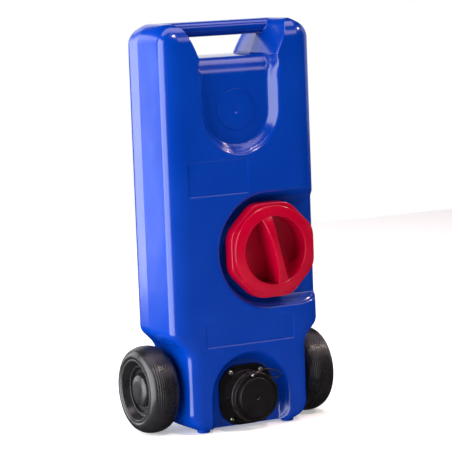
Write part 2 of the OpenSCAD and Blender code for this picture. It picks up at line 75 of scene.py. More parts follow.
tank = {
    "height": 768, "width": 325, "depth": 170, "parting": 94, "wall": 3.5,
    "topCorner": 38, "frontTop": 42, "backTop": 62,      # radii round the top
    "draft": 4, "cornerWide": 45, "cornerDeep": 22, "legCornerWide": 26, "legCornerDeep": 16,
    "backCorner": 40,
    "legWidth": 262, "underside": 5, "legCorner": 36, "frontBottom": 22,
    "hip": 140, "hipCurve": 42, "shoulderCurve": 22,
    "axleDepth": 95, "axleHigh": 82.7,
    "footX": 91, "footDepth": 27, "footRadius": 12,
}
handle = {
    "barHigh": 29, "barDeep": 44, "gap": 37, "gapHalf": 76, "flare": 5, "lean": 25,
    "hornCurve": 22, "ledgeCurve": 38, "backLedge": 26, "barPower": 2.3,
}
bib = {"half": 83, "middle": 604, "deep": 20, "slope": 0.75, "edge": 5, "bossRadius": 38.5, "bossHigh": 1.5}
pocket = {"x": 52, "z": 336.5, "radius": 110, "deep": 25, "slope": 0.62, "edge": 5, "foot": 8, "hole": 71.2}
arch = {"z": 63, "radius": 83.5, "deep": 25, "slope": 0.5, "edge": 5, "foot": 8, "hole": 44}
panels = [  # middle, half sizes
    {"x": -53, "z": 480, "halfX": 64, "halfZ": 33.5},
    {"x": 3, "z": 185.5, "halfX": 95.5, "halfZ": 23.25},
]
panelDeep, panelStep, panelCorner = 1.5, 1.6, 4

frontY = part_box("tank_rear")[1].y / mm - tank["depth"]
barLow = tank["height"] - handle["barHigh"]
ledgeTop = barLow - handle["gap"]
ledgeLow = ledgeTop - handle["ledgeCurve"]


# ---- helpers ----
def ease(t):
    # rises smoothly from 0 to 1 as t does
    t = np.clip(t, 0, 1)
    return t * t * (3 - 2 * t)


def smoothMax(a, b, k):
    # the larger of two depths, rounded where they are within k of each other
    return np.maximum(a, b) + np.maximum(k - np.abs(a - b), 0) ** 2 / (4 * k)


def smoothMin(a, b, k):
    # the smaller of two depths, rounded where they are within k of each other
    return -smoothMax(-a, -b, k)


def spaced(start, end, count, crowd=""):
    # count steps from start to end, crowded towards "start", "end" or "both"
    t = np.linspace(0, 1, count + 1)
    if crowd == "start":
        t = 1 - np.cos(t * math.pi / 2)
    elif crowd == "end":
        t = np.sin(t * math.pi / 2)
    elif crowd == "both":
        t = (1 - np.cos(t * math.pi)) / 2
    return start + (end - start) * t


def withLines(values, lines, near=0.6):
    # grid lines with the given ones put in place of any that lie too near them
    values, lines = np.unique(np.round(values, 4)), np.unique(np.round(lines, 4))
    keep = np.abs(values[:, None] - lines[None, :]).min(1) > near
    return np.unique(np.concatenate([values[keep], lines]))


def gridFaces(rows, columns, closed=False, flip=False):
    # quads of a grid of points, row by row; closed joins the last column to the first
    i = np.arange(rows - 1)[:, None] * columns
    j = np.arange(columns if closed else columns - 1)[None, :]
    k = (j + 1) % columns
    quads = np.stack([i + j, i + k, i + columns + k, i + columns + j], -1).reshape(-1, 4)
    return quads[:, ::-1] if flip else quads


def makePiece(name, parts, body, material, hides=(), sharp=None):
    # parts is a list of (points in mm as x, depth, z; faces); it becomes one object in the frame
    points, loops, sizes, offset = [], [], [], 0
    for p, faces in parts:
        p = np.asarray(p, float).reshape(-1, 3)
        points.append(p)
        for f in (faces if isinstance(faces, list) else [faces]):
            f = np.asarray(f)
            loops.append((f + offset).ravel())
            sizes.append(np.full(len(f), f.shape[1]))
        offset += len(p)
    points = np.concatenate(points)
    points[:, 1] += frontY
    loops, sizes = np.concatenate(loops), np.concatenate(sizes)
    mesh = bpy.data.meshes.new(name)
    mesh.vertices.add(len(points))
    mesh.vertices.foreach_set("co", (points * mm).astype(np.float32).ravel())
    mesh.loops.add(len(loops))
    mesh.loops.foreach_set("vertex_index", loops.astype(np.int32))
    mesh.polygons.add(len(sizes))
    mesh.polygons.foreach_set("loop_start", (np.cumsum(sizes) - sizes).astype(np.int32))
    mesh.update(calc_edges=True)
    mesh.validate()
    mesh.shade_smooth()
    if sharp is not None:
        mesh.set_sharp_from_angle(angle=math.radians(sharp))
    mesh.materials.append(material)
    piece = bpy.data.objects.new(name, mesh)
    bpy.context.scene.collection.objects.link(piece)
    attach(piece, body)
    if hides:
        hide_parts(*hides)
    return piece


def roundedLine(corners, step=1.0):
    # corners are (radius or x, depth, bend radius); the line runs straight between them and round at
    # each bend
    out = [np.array(corners[0][:2], float)]
    for before, here, after in zip(corners, corners[1:], corners[2:]):
        p = np.array(here[:2], float)
        a, b = np.array(before[:2], float) - p, np.array(after[:2], float) - p
        la, lb = np.linalg.norm(a), np.linalg.norm(b)
        a, b = a / la, b / lb
        half = math.acos(max(-1.0, min(1.0, float(a @ b)))) / 2
        bend = here[2] if len(here) > 2 else 0
        cut = min(bend / max(math.tan(half), 1e-6), la * 0.49, lb * 0.49)
        if cut < 0.02 or half > math.radians(89):
            out.append(p)
            continue
        t = np.linspace(0, 1, max(3, int(round((math.pi - 2 * half) / math.radians(15))) + 1))[:, None]
        out.extend((1 - t) ** 2 * (p + a * cut) + 2 * t * (1 - t) * p + t ** 2 * (p + b * cut))
    out.append(np.array(corners[-1][:2], float))
    return np.array(out)


def turned(line, centre, around=96, outline=None, share=None, facing="front"):
    # a line of (radius, depth) carried round an axis through centre. Where share is 1 the radius is scaled
    # by outline(angle). The axis runs backwards for "front", up for "up", to the right for "right".
    line = np.asarray(line, float)
    angle = np.arange(around) / around * turn
    radius = line[:, 0][:, None] * np.ones(around)[None, :]
    if outline is not None:
        radius = radius * (1 + share[:, None] * (outline(angle)[None, :] - 1))
    along = line[:, 1][:, None] * np.ones(around)[None, :]
    c, s = radius * np.cos(angle), radius * np.sin(angle)
    if facing == "front":
        points = np.stack([centre[0] + c, centre[1] + along, centre[2] + s], -1)
    elif facing == "up":
        points = np.stack([centre[0] + c, centre[1] - s, centre[2] + along], -1)
    else:
        points = np.stack([centre[0] + along, centre[1] + c, centre[2] - s], -1)
    return points.reshape(-1, 3), gridFaces(len(line), around, closed=True, flip=True)


def capped(part, around, first=True, last=True):
    # closes the ends of a turned piece, whose end rings lie on or near the axis
    points, faces = part
    count = len(points)
    extra, fans = [], []
    if first:
        extra.append(points[:around].mean(0))
        j = np.arange(around)
        fans.append(np.stack([np.full(around, count), j, (j + 1) % around], -1))
    if last:
        extra.append(points[-around:].mean(0))
        j = np.arange(around) + count - around
        k = (np.arange(around) + 1) % around + count - around
        fans.append(np.stack([np.full(around, count + len(extra) - 1), k, j], -1))
    return np.concatenate([points, np.array(extra)]), [faces, *fans]


# ---- materials ----
def addNode(nodes, kind, **values):
    # a shader node, each value set on its socket or on the node itself
    node = nodes.new(kind)
    for key, value in values.items():
        if key in node.inputs:
            node.inputs[key].default_value = value
        else:
            setattr(node, key, value)
    return node


def moulded(name, look):
    # a moulded surface: cloudy colour, uneven gloss, a slow waviness and a fine grain, all in object space
    material = bpy.data.materials.new(name)
    material.use_nodes = True
    nodes, links = material.node_tree.nodes, material.node_tree.links
    shader = nodes["Principled BSDF"]
    shader.inputs["IOR"].default_value = look.get("ior", 1.5)
    shader.inputs["Metallic"].default_value = look.get("metal", 0.0)
    shader.inputs["Coat Weight"].default_value = look.get("coat", 0.0)
    shader.inputs["Coat Roughness"].default_value = look.get("coatRough", 0.3)
    shader.inputs["Subsurface Weight"].default_value = look.get("deep", 0.0)
    shader.inputs["Subsurface Scale"].default_value = 0.002
    place = nodes.new("ShaderNodeTexCoord").outputs["Object"]
    cloud = addNode(nodes, "ShaderNodeTexNoise", Scale=look["cloudScale"], Detail=4.0, Roughness=0.6)
    grain = addNode(nodes, "ShaderNodeTexNoise", Scale=look["grainScale"], Detail=3.0, Roughness=0.5)
    wave = addNode(nodes, "ShaderNodeTexNoise", Scale=look["waveScale"], Detail=1.0)
    for texture in (cloud, grain, wave):
        links.new(place, texture.inputs["Vector"])
    tint = addNode(nodes, "ShaderNodeValToRGB")
    tint.color_ramp.elements[0].position, tint.color_ramp.elements[1].position = 0.3, 0.7
    tint.color_ramp.elements[0].color = (*look["dark"], 1)
    tint.color_ramp.elements[1].color = (*look["light"], 1)
    links.new(cloud.outputs["Fac"], tint.inputs["Fac"])
    links.new(tint.outputs["Color"], shader.inputs["Base Color"])
    gloss = addNode(nodes, "ShaderNodeMapRange")
    gloss.inputs["From Min"].default_value, gloss.inputs["From Max"].default_value = 0.3, 0.7
    gloss.inputs["To Min"].default_value, gloss.inputs["To Max"].default_value = look["rough"]
    links.new(cloud.outputs["Fac"], gloss.inputs["Value"])
    links.new(gloss.outputs["Result"], shader.inputs["Roughness"])
    slow = addNode(nodes, "ShaderNodeBump", Strength=look["waveStrength"], Distance=look["waveHigh"])
    fine = addNode(nodes, "ShaderNodeBump", Strength=look["grainStrength"], Distance=look["grainHigh"])
    links.new(wave.outputs["Fac"], slow.inputs["Height"])
    links.new(grain.outputs["Fac"], fine.inputs["Height"])
    links.new(slow.outputs["Normal"], fine.inputs["Normal"])
    links.new(fine.outputs["Normal"], shader.inputs["Normal"])
    return material


tankBlue = moulded("tankBlue", {
    "dark": (0.0, 0.028, 0.26), "light": (0.0, 0.034, 0.30), "rough": (0.15, 0.21), "cloudScale": 9.0,
    "waveScale": 14.0, "waveStrength": 0.35, "waveHigh": 0.0016,
    "grainScale": 900.0, "grainStrength": 0.12, "grainHigh": 0.0002,
})
capRed = moulded("capRed", {
    "dark": (0.31, 0.0, 0.015), "light": (0.37, 0.0, 0.019), "rough": (0.16, 0.24), "cloudScale": 20.0,
    "waveScale": 30.0, "waveStrength": 0.2, "waveHigh": 0.0006,
    "grainScale": 1200.0, "grainStrength": 0.1, "grainHigh": 0.00015,
})
outletBlack = moulded("outletBlack", {
    "dark": (0.005, 0.005, 0.005), "light": (0.009, 0.008, 0.009), "rough": (0.30, 0.42),
    "cloudScale": 60.0,
    "ior": 1.38,
    "waveScale": 50.0, "waveStrength": 0.15, "waveHigh": 0.0004,
    "grainScale": 1500.0, "grainStrength": 0.25, "grainHigh": 0.0002,
})
wheelBlack = moulded("wheelBlack", {
    "dark": (0.008, 0.008, 0.009), "light": (0.015, 0.015, 0.017), "rough": (0.24, 0.36),
    "cloudScale": 45.0,
    "waveScale": 40.0, "waveStrength": 0.2, "waveHigh": 0.0005,
    "grainScale": 1100.0, "grainStrength": 0.2, "grainHigh": 0.0002,
})
tyreBlack = moulded("tyreBlack", {
    "dark": (0.008, 0.008, 0.009), "light": (0.015, 0.014, 0.016), "rough": (0.24, 0.36),
    "cloudScale": 35.0,
    "waveScale": 22.0, "waveStrength": 0.3, "waveHigh": 0.0008,
    "grainScale": 700.0, "grainStrength": 0.2, "grainHigh": 0.0002,
})
sealRubber = moulded("sealRubber", {
    "dark": (0.012, 0.012, 0.013), "light": (0.022, 0.022, 0.023), "rough": (0.6, 0.75), "cloudScale": 80.0,
    "waveScale": 60.0, "waveStrength": 0.1, "waveHigh": 0.0002,
    "grainScale": 1500.0, "grainStrength": 0.3, "grainHigh": 0.0002,
})
leashBrown = moulded("leashBrown", {
    "dark": (0.020, 0.012, 0.010), "light": (0.036, 0.022, 0.018), "rough": (0.3, 0.42),
    "cloudScale": 120.0,
    "waveScale": 90.0, "waveStrength": 0.1, "waveHigh": 0.0001,
    "grainScale": 2000.0, "grainStrength": 0.15, "grainHigh": 0.0001,
})
zincSteel = moulded("zincSteel", {
    "dark": (0.50, 0.49, 0.46), "light": (0.66, 0.65, 0.61), "rough": (0.24, 0.42), "metal": 1.0,
    "cloudScale": 400.0, "waveScale": 200.0, "waveStrength": 0.1, "waveHigh": 0.0001,
    "grainScale": 3000.0, "grainStrength": 0.15, "grainHigh": 0.00005,
})
print("materials made")


# ---- camera ----
view = {"x": -2208.7, "y": -4009.95, "z": 930.7, "yaw": 28.84, "pitch": 6.87, "roll": -2.20, "lens": 193.6}


def makeCamera():
    # looks at the front from the left, a little from above
    yaw, pitch, roll = (math.radians(view[k]) for k in ("yaw", "pitch", "roll"))
    back = np.array([-math.sin(yaw) * math.cos(pitch), -math.cos(yaw) * math.cos(pitch), math.sin(pitch)])
    right = np.array([math.cos(yaw), -math.sin(yaw), 0])
    up = np.cross(back, right)
    tilted = right * math.cos(roll) + up * math.sin(roll)
    upright = up * math.cos(roll) - right * math.sin(roll)
    data = bpy.data.cameras.new("camera")
    data.sensor_width = 36
    data.lens = view["lens"]
    data.clip_end = 100
    camera = bpy.data.objects.new("camera", data)
    turnedAxes = np.array([tilted, upright, back]).T
    place = Matrix.Translation([view[k] * mm for k in "xyz"])
    camera.matrix_world = place @ Matrix(turnedAxes.tolist()).to_4x4()
    bpy.context.scene.collection.objects.link(camera)
    bpy.context.scene.camera = camera


makeCamera()

# ---- leash ----
leash = {"diameter": 2.4, "outletZ": 63, "ring": 12, "knob": 2.6}
leashRoute = [  # sideways, depth and up from the middle of the outlet
    (-7, -21.6, 43), (2, -21.6, 46.5), (9, -20.6, 49.3), (17, -18.5, 50.8), (26, -15.5, 50.3),
    (35, -12, 48.5),
    (45, -8, 45.5), (54, -4.5, 42), (62, 0, 38), (67, 3.5, 33.5), (68, 7.5, 29.5), (65.5, 10.5, 27),
    (60, 12.5, 26), (54, 14, 26.3), (49, 15.5, 26.9), (47, 16.4, 27), (47, 17.5, 27),
]


def smoothRoute(route, per=6):
    # a line through the points of the route, rounded between them by their neighbours
    p = np.array(route, float)
    p = np.vstack([p[0], p, p[-1]])
    t = (np.arange(per) / per)[None, :, None]
    a, b, c, d = (p[i:len(p) - 3 + i][:, None, :] for i in range(4))
    square, cube = 2 * a - 5 * b + 4 * c - d, 3 * b - a - 3 * c + d
    line = 0.5 * (2 * b + (c - a) * t + square * t ** 2 + cube * t ** 3)
    return np.vstack([line.reshape(-1, 3), p[-1]])


def tubeAlong(line, radius, around):
    # a round section carried along a line, its ends closed
    ahead = np.gradient(line, axis=0)
    ahead /= np.linalg.norm(ahead, axis=1)[:, None]
    u = np.cross(np.array([0.1, 0.5, 0.86]), ahead)
    u /= np.linalg.norm(u, axis=1)[:, None]
    v = np.cross(ahead, u)
    angle = np.arange(around) / around * turn
    ring = np.cos(angle)[None, :, None] * u[:, None, :] + np.sin(angle)[None, :, None] * v[:, None, :]
    points = (line[:, None, :] + radius * ring).reshape(-1, 3)
    return capped((points, gridFaces(len(line), around, closed=True)), around)


leashLine = smoothRoute(leashRoute) + np.array([0, 0, leash["outletZ"]])
leashPiece = makePiece("leashCord", [tubeAlong(leashLine, leash["diameter"] / 2, leash["ring"])],
                       "outlet_keeper", leashBrown, hides=("cap_leash",))
leashPiece.parent = None
del leashPiece["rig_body"]
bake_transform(leashPiece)
print("leash made")


# ---- tank ----
def halfWidth(z):
    # half the width of the tank at height z, on the parting plane
    w, leg = tank["width"] / 2, tank["legWidth"] / 2
    root = math.sqrt(0.5)
    shoulderZ = tank["hip"] + w - leg + (math.sqrt(2) - 1) * (tank["hipCurve"] + tank["shoulderCurve"])
    slopeLow = tank["hip"] + tank["hipCurve"] * root
    slopeHigh = shoulderZ - tank["shoulderCurve"] * root
    topZ = tank["height"] - tank["topCorner"]
    lowZ = tank["underside"] + tank["legCorner"]

    def arcAt(radius, rise):
        return np.sqrt(np.clip(radius ** 2 - rise ** 2, 0, None))
    return np.select(
        [z < lowZ, z < tank["hip"], z < slopeLow, z < slopeHigh, z < shoulderZ, z < topZ],
        [leg - tank["legCorner"] + arcAt(tank["legCorner"], lowZ - z), leg,
         leg + tank["hipCurve"] - arcAt(tank["hipCurve"], z - tank["hip"]),
         leg + tank["hipCurve"] * (1 - root) + z - slopeLow,
         w - tank["shoulderCurve"] + arcAt(tank["shoulderCurve"], shoulderZ - z), w],
        w - tank["topCorner"] + arcAt(tank["topCorner"], z - topZ))


def rimDepth(q, draft, wide, deep, full):
    # depth at a distance q inside the outline: a leaning wall, then a round edge, then flat
    curve = deep * (1 - np.sqrt(np.clip(1 - ((draft + wide - q) / wide) ** 2, 0, 1)))
    wallDeep = full - (full - deep) * q / max(draft, 1e-6)
    return np.where(q < 1e-6, full, np.where(q < draft, wallDeep, np.where(q < draft + wide, curve, 0)))


def outerDepth(x, z, side, top, bottom, full):
    # how far the surface lies behind its own face, from the outline alone; the corners pass from the
    # side's section to the end's as the angle turns
    ax = np.abs(x)
    topR, lowR = tank["topCorner"], tank["legCorner"]
    sides = rimDepth(halfWidth(z) - ax, *side, full)
    ends = rimDepth(tank["height"] - z, *top, full) + rimDepth(z - tank["underside"], *bottom, full)
    deep = (sides ** 3 + ends ** 3) ** (1 / 3)
    deep = np.where((sides >= full - 1e-6) | (ends >= full - 1e-6), full, np.minimum(deep, full))
    for half, cz, r, end, way in (
        (tank["width"] / 2 - topR, tank["height"] - topR, topR, top, 1),
        (tank["legWidth"] / 2 - lowR, tank["underside"] + lowR, lowR, bottom, -1),
    ):
        u, v = ax - half, (z - cz) * way
        q = np.maximum(r - np.hypot(u, v), 0)
        t = ease(np.arctan2(v, u) / (math.pi / 2))
        mixed = rimDepth(q, *side, full) * (1 - t) + rimDepth(q, *end, full) * t
        deep = np.where((u > 0) & (v > 0), mixed, deep)
    return deep


def superRound(z, middle, half, power):
    # 1 in the middle of a bar and 0 at its top and bottom
    return np.clip(1 - np.abs((z - middle) / half) ** power, 0, 1) ** (1 / power)


def gapEdge(z):
    # half the width of the hand gap: upright to the ledge, then leaning out, then turning over into
    # the horn
    lean, r = math.radians(handle["lean"]), handle["hornCurve"]
    line = handle["gapHalf"] + np.maximum(z - ledgeTop, 0) * math.tan(lean)
    middleX = handle["gapHalf"] + (tank["height"] - r - ledgeTop) * math.tan(lean) + r / math.cos(lean)
    rise = np.clip(z - (tank["height"] - r), -r, r)
    bend = middleX - np.sqrt(r ** 2 - rise ** 2)
    return np.where(z > tank["height"] - r + r * math.sin(lean), bend, line)


def handleDepth(x, z, full, barReach, floorDepth, lowSlope, lowHalf):
    # the recess round the hand gap: the smaller of its wall's depth and what lies behind it
    ax = np.abs(x)
    edge = gapEdge(z) + handle["flare"]
    high = ease((z - ledgeLow + 12) / (ledgeTop - ledgeLow + 12))
    edge = lowHalf + (edge - lowHalf) * high
    slope = lowSlope + (handle["flare"] / full - lowSlope) * high
    across = np.where(z > bib["middle"], ax, np.hypot(ax, z - bib["middle"]))
    wallDeep = (edge - across) / slope
    half = handle["barHigh"] / 2
    bar = full - barReach * superRound(z, tank["height"] - half, half, handle["barPower"])
    behind = np.where(z >= barLow, bar, np.where(z >= ledgeTop, full + 40, floorDepth))
    return smoothMin(wallDeep, behind, 5 + 9 * high), high


def frontDepth(x, z):
    # the larger of the outline's depth and each recess's depth, plus how far the panels are sunk
    full = tank["parting"]
    body = ease((z - tank["hip"]) / (tank["hipCurve"] + tank["shoulderCurve"]))
    wide = tank["legCornerWide"] + (tank["cornerWide"] - tank["legCornerWide"]) * body
    bend = tank["legCornerDeep"] + (tank["cornerDeep"] - tank["legCornerDeep"]) * body
    outer = outerDepth(x, z, (tank["draft"], wide, bend),
                       (0, tank["frontTop"], tank["frontTop"]),
                       (0, tank["frontBottom"], tank["frontBottom"]), full)
    rise = np.clip(z - ledgeLow, 0, handle["ledgeCurve"])
    floorDepth = bib["deep"] + handle["ledgeCurve"] - np.sqrt(handle["ledgeCurve"] ** 2 - rise ** 2)
    recess, high = handleDepth(x, z, full, handle["barDeep"] / 2, floorDepth, bib["slope"], bib["half"])
    deep = smoothMax(outer, recess, bib["edge"] + 40 * high)
    u, v = x - pocket["x"], z - pocket["z"]
    across = np.where(u > 0, np.abs(v), np.hypot(u, v))
    sunk = smoothMin((pocket["radius"] - across) / pocket["slope"], pocket["deep"] + 0 * x, pocket["foot"])
    deep = smoothMax(deep, sunk, pocket["edge"])
    across = np.where(z < arch["z"], np.abs(x), np.hypot(x, z - arch["z"]))
    sunk = smoothMin((arch["radius"] - across) / arch["slope"], arch["deep"] + 0 * x, arch["foot"])
    deep = smoothMax(deep, sunk, arch["edge"])
    for p in panels:
        u = np.abs(x - p["x"]) - p["halfX"] + panelCorner
        v = np.abs(z - p["z"]) - p["halfZ"] + panelCorner
        beyond = np.hypot(np.maximum(u, 0), np.maximum(v, 0))
        outside = beyond + np.minimum(np.maximum(u, v), 0) - panelCorner
        deep = deep + panelDeep * ease(-outside / panelStep)
    return np.minimum(deep, full)


def backDepth(x, z):
    # the larger of the outline's depth and the hand recess's depth, measured from the back face
    full = tank["depth"] - tank["parting"]
    lowRise = tank["axleHigh"] - tank["underside"]
    outer = outerDepth(x, z, (tank["draft"], tank["backCorner"], tank["backCorner"]),
                       (0, tank["backTop"], tank["backTop"]),
                       (0, lowRise, tank["depth"] - tank["axleDepth"]), full)
    low = ledgeTop - handle["backLedge"]
    rise = np.clip(z - low, 0, handle["backLedge"])
    floorDepth = handle["backLedge"] - np.sqrt(handle["backLedge"] ** 2 - rise ** 2)
    recess, high = handleDepth(x, z, full, handle["barDeep"] / 2, floorDepth, handle["flare"] / full,
                               bib["half"])
    recess = np.where(z > low, recess, -full)
    return np.minimum(smoothMax(outer, recess, 6 + 24 * high), full)


# columns of the grid from the middle to the side; plain is where they stop being upright
grid = {"middle": 84, "corner": 26, "side": 3, "plain": 100, "sideRoom": 22}


def tankGrid():
    # heights of the rows, and the sideways place of each column at each height; columns follow the outline
    rows = np.concatenate([
        spaced(tank["underside"], 30, 14, "start"), spaced(30, 150, 56), spaced(150, 203, 32),
        spaced(203, 447, 112), spaced(447, 514, 32), spaced(514, ledgeLow, 76),
        spaced(ledgeLow, ledgeTop, 30, "end"),
        spaced(ledgeTop, barLow, 16), spaced(barLow, tank["height"], 30, "both")])
    lines = [ledgeTop, barLow, tank["underside"], tank["height"]]
    columnLines = [handle["gapHalf"], -handle["gapHalf"]]
    for p in panels:
        for way in (-1, 1):
            lines += [p["z"] + way * p["halfZ"], p["z"] + way * (p["halfZ"] - panelStep)]
            columnLines += [p["x"] + way * p["halfX"], p["x"] + way * (p["halfX"] - panelStep)]
    rows = withLines(rows, lines, 0.4)
    w = tank["width"] / 2
    edge = tank["draft"] + tank["cornerWide"]
    half = np.concatenate([
        spaced(0, w - edge, grid["middle"]), spaced(w - edge, w - tank["draft"], grid["corner"], "end"),
        spaced(w - tank["draft"], w, grid["side"])])
    columns = withLines(np.concatenate([-half, half]), columnLines, 0.4)
    # columns up to the side of the gap follow it, those up to plain stay upright, the rest follow the
    # outline
    plain, side = grid["plain"], handle["gapHalf"]
    a = np.abs(columns)
    lines = []
    for z, width in zip(rows, halfWidth(rows)):
        inner = min(plain, width - grid["sideRoom"])
        gap = float(gapEdge(z)) if z > ledgeTop else side * inner / plain
        inner = max(inner, gap + (width - gap) * (plain - side) / (w - side))
        lines.append(np.interp(a, [0, side, plain, w], [0, gap, inner, width]))
    return rows, np.array(lines) * np.sign(columns)[None, :]


def skin(rows, x, depths, back, holes):
    # the grid as a skin, without the faces whose middle lies in a hole
    z = rows[:, None] * np.ones_like(x)
    d = depths(x, z)
    d = tank["depth"] - d if back else d
    points = np.stack([x, d, z], -1).reshape(-1, 3)
    faces = gridFaces(len(rows), x.shape[1], flip=back)
    middle = points[faces].mean(1)
    drop = np.zeros(len(faces), bool)
    for hole in holes:
        drop |= hole(middle[:, 0], middle[:, 2])
    return points, faces[~drop]


def handGap(x, z):
    # true nearer to the middle than the gap's half width, between the ledge and the bar
    return (np.abs(x) < gapEdge(z)) & (z > ledgeTop) & (z < barLow)


def neckHole(x, z):
    # true nearer to the neck's axis than the radius of its hole
    return np.hypot(x - pocket["x"], z - pocket["z"]) < pocket["hole"]


def outletHole(x, z):
    # true nearer to the outlet's axis than the radius of its hole
    return np.hypot(x, z - arch["z"]) < arch["hole"]


gridRows, gridX = tankGrid()
makePiece("tankFront", [skin(gridRows, gridX, frontDepth, False, (handGap, neckHole, outletHole))],
          "tank", tankBlue, hides=("tank_front",))
makePiece("tankBack", [skin(gridRows, gridX, backDepth, True, (handGap,))], "tank",
          tankBlue,
          hides=("tank_rear",))
print("tank halves made", len(gridRows), gridX.shape[1])


lining = {"top": 655, "curve": 24, "low": 40, "edgeFrom": 0.84}


def liningDepth(depths):
    # the skin's depth further out and one wall lower down, plus the wall; it ends just under the handle.
    # On the front this comes through the skin at some points, by up to 2.2 mm.
    def inner(x, z):
        low = z - tank["wall"]
        outside = x * halfWidth(low) / (halfWidth(low) - tank["wall"])
        full = tank["parting"] if depths is frontDepth else tank["depth"] - tank["parting"]
        deep = depths(outside, low) + tank["wall"]
        top = rimDepth(lining["top"] - z, 0, lining["curve"], lining["curve"], full)
        return np.minimum(np.maximum(deep, top), full)
    return inner


liningBend = lining["top"] - lining["curve"]
liningRows = np.unique(np.concatenate([
    spaced(tank["underside"] + tank["wall"], lining["low"], 12, "start"),
    spaced(lining["low"], liningBend, 120), spaced(liningBend, lining["top"], 12, "end")]))
liningHalf = halfWidth(liningRows - tank["wall"]) - tank["wall"]
liningShare = np.concatenate([spaced(0, lining["edgeFrom"], 40), spaced(lining["edgeFrom"], 1, 18, "end")])
liningShare = np.unique(np.concatenate([-liningShare, liningShare]))
liningX = liningHalf[:, None] * liningShare[None, :]
frontLining = skin(liningRows, liningX, liningDepth(frontDepth), False, (neckHole, outletHole))
backLining = skin(liningRows, liningX, liningDepth(backDepth), True, ())
makePiece("tankLining", [(p, f[:, ::-1]) for p, f in (frontLining, backLining)], "tank",
          tankBlue)

neck = {
    "bore": 69, "outer": 74, "front": -9, "foot": 5,
    "thread": 2.2, "pitch": 8, "from": -6, "to": 18, "fade": 3,
    "ridgeHalf": 0.26, "flank": 0.12,       # shares of the pitch
}


def neckSkin(around=288):
    # a turned sleeve with a screw thread: the ridge climbs one pitch in each turn and fades at both ends
    line = np.concatenate([
        [[neck["bore"], pocket["deep"] + 6]],
        roundedLine([(neck["bore"], 20), (neck["bore"], neck["front"], 1.4),
                     (neck["outer"], neck["front"], 1.4),
                     (neck["outer"], neck["from"])]),
        np.stack([np.full(78, neck["outer"]), np.linspace(neck["from"] + 0.3, neck["to"] + 2, 78)], -1),
        roundedLine([(neck["outer"], neck["to"] + 2.2), (neck["outer"], pocket["deep"] + 0.6, neck["foot"]),
                     (neck["outer"] + 8, pocket["deep"] + 0.6)])])
    points, faces = turned(line, (pocket["x"], 0, pocket["z"]), around)
    u, v = points[:, 0] - pocket["x"], points[:, 2] - pocket["z"]
    angle, depth, radius = np.arctan2(v, u), points[:, 1], np.hypot(u, v)
    phase = np.mod((depth - neck["from"]) / neck["pitch"] - angle / turn, 1)
    fromCrest = 0.5 - np.abs(phase - 0.5)
    ridge = ease((neck["ridgeHalf"] - fromCrest) / neck["flank"])
    fade = ease((depth - neck["from"]) / neck["fade"]) * ease((neck["to"] - depth) / neck["fade"])
    fade = fade * (radius > neck["outer"] - 0.01)
    grow = 1 + neck["thread"] * ridge * fade / radius
    points[:, 0], points[:, 2] = pocket["x"] + u * grow, pocket["z"] + v * grow
    return points, faces


makePiece("inspectionNeck", [neckSkin()], "tank", tankBlue)

bossLine = roundedLine([
    (0.3, bib["deep"] - 0.2), (5.5, bib["deep"] - 0.2, 1), (8, bib["deep"] - bib["bossHigh"], 1),
    (bib["bossRadius"], bib["deep"] - bib["bossHigh"], 0.8), (bib["bossRadius"], bib["deep"] + 1)])
makePiece("bibBoss", [capped(turned(bossLine, (0, 0, bib["middle"]), 144), 144, last=False)],
          "tank", tankBlue)

footLine = roundedLine([(0.3, 0), (tank["footRadius"], 0, 3),
                        (tank["footRadius"] + 1, tank["underside"] + 5)])
footPieces = []
for side in (-1, 1):
    foot = turned(footLine, (side * tank["footX"], tank["footDepth"], 0), 64, facing="up")
    footPieces.append(capped(foot, 64, last=False))
makePiece("frontFeet", footPieces, "tank", tankBlue)
print("tank made")


# ---- inspection cap ----
cap = {
    "flat": 89, "corner": 93, "ring": 85, "cup": 64.5, "cupFoot": 61.5, "cupFloor": 17, "wall": 3,
    "mouth": -21, "ringFront": -17, "shoulder": -12, "back": 12, "bore": 77,
    "gripWaist": 6.2, "gripEnd": 11.5, "gripProud": 9, "gripLean": 14, "gripEdge": 1.8,
}


def eightSided(angle):
    # distance to an octagon's side over the distance to its middle, with the corners turned off
    part = np.mod(angle + math.pi / 8, math.pi / 4) - math.pi / 8
    return smoothMin(cap["flat"] / np.cos(part), cap["corner"] + 0 * angle, 3) / cap["flat"]


def capSkin(around=320):
    # a section turned about the cap's axis, its skirt scaled by the octagon's outline
    c = cap
    line = [
        (0.4, c["cupFloor"]), (c["cupFoot"], c["cupFloor"], 2.5), (c["cup"], c["mouth"], 1.4),
        (c["cup"] + 6, c["mouth"] + 0.4, 6), (c["ring"] - 0.6, c["ringFront"] - 0.4, 1.8),
        (c["ring"], c["shoulder"] - 1.4, 0.6), (c["ring"] - 1, c["shoulder"] - 0.4, 0.6),
        (c["ring"] + 0.8, c["shoulder"], 0.4), (c["flat"], c["shoulder"] + 0.6, 2.4),
        (c["flat"] + 0.8, c["back"], 1), (c["flat"] - c["wall"], c["back"], 1),
        (c["flat"] - c["wall"], c["shoulder"] + c["wall"] + 1, 1),
        (c["bore"] + c["wall"], c["shoulder"] + c["wall"] + 1, 1),
        (c["bore"] + c["wall"], c["back"], 1), (c["bore"], c["back"], 1),
        (c["bore"], c["shoulder"] + 0.1, 0.6),
        (c["cup"] + c["wall"], c["shoulder"] + 0.1, 1),
        (c["cupFoot"] + c["wall"], c["cupFloor"] + c["wall"], 2),
        (0.4, c["cupFloor"] + c["wall"])]
    rounded = roundedLine(line)
    share = ((rounded[:, 0] > c["ring"] + 0.9) & (rounded[:, 1] > c["shoulder"] - 0.2)).astype(float)
    part = turned(rounded, (pocket["x"], 0, pocket["z"]), around, eightSided, share)
    return capped(part, around)


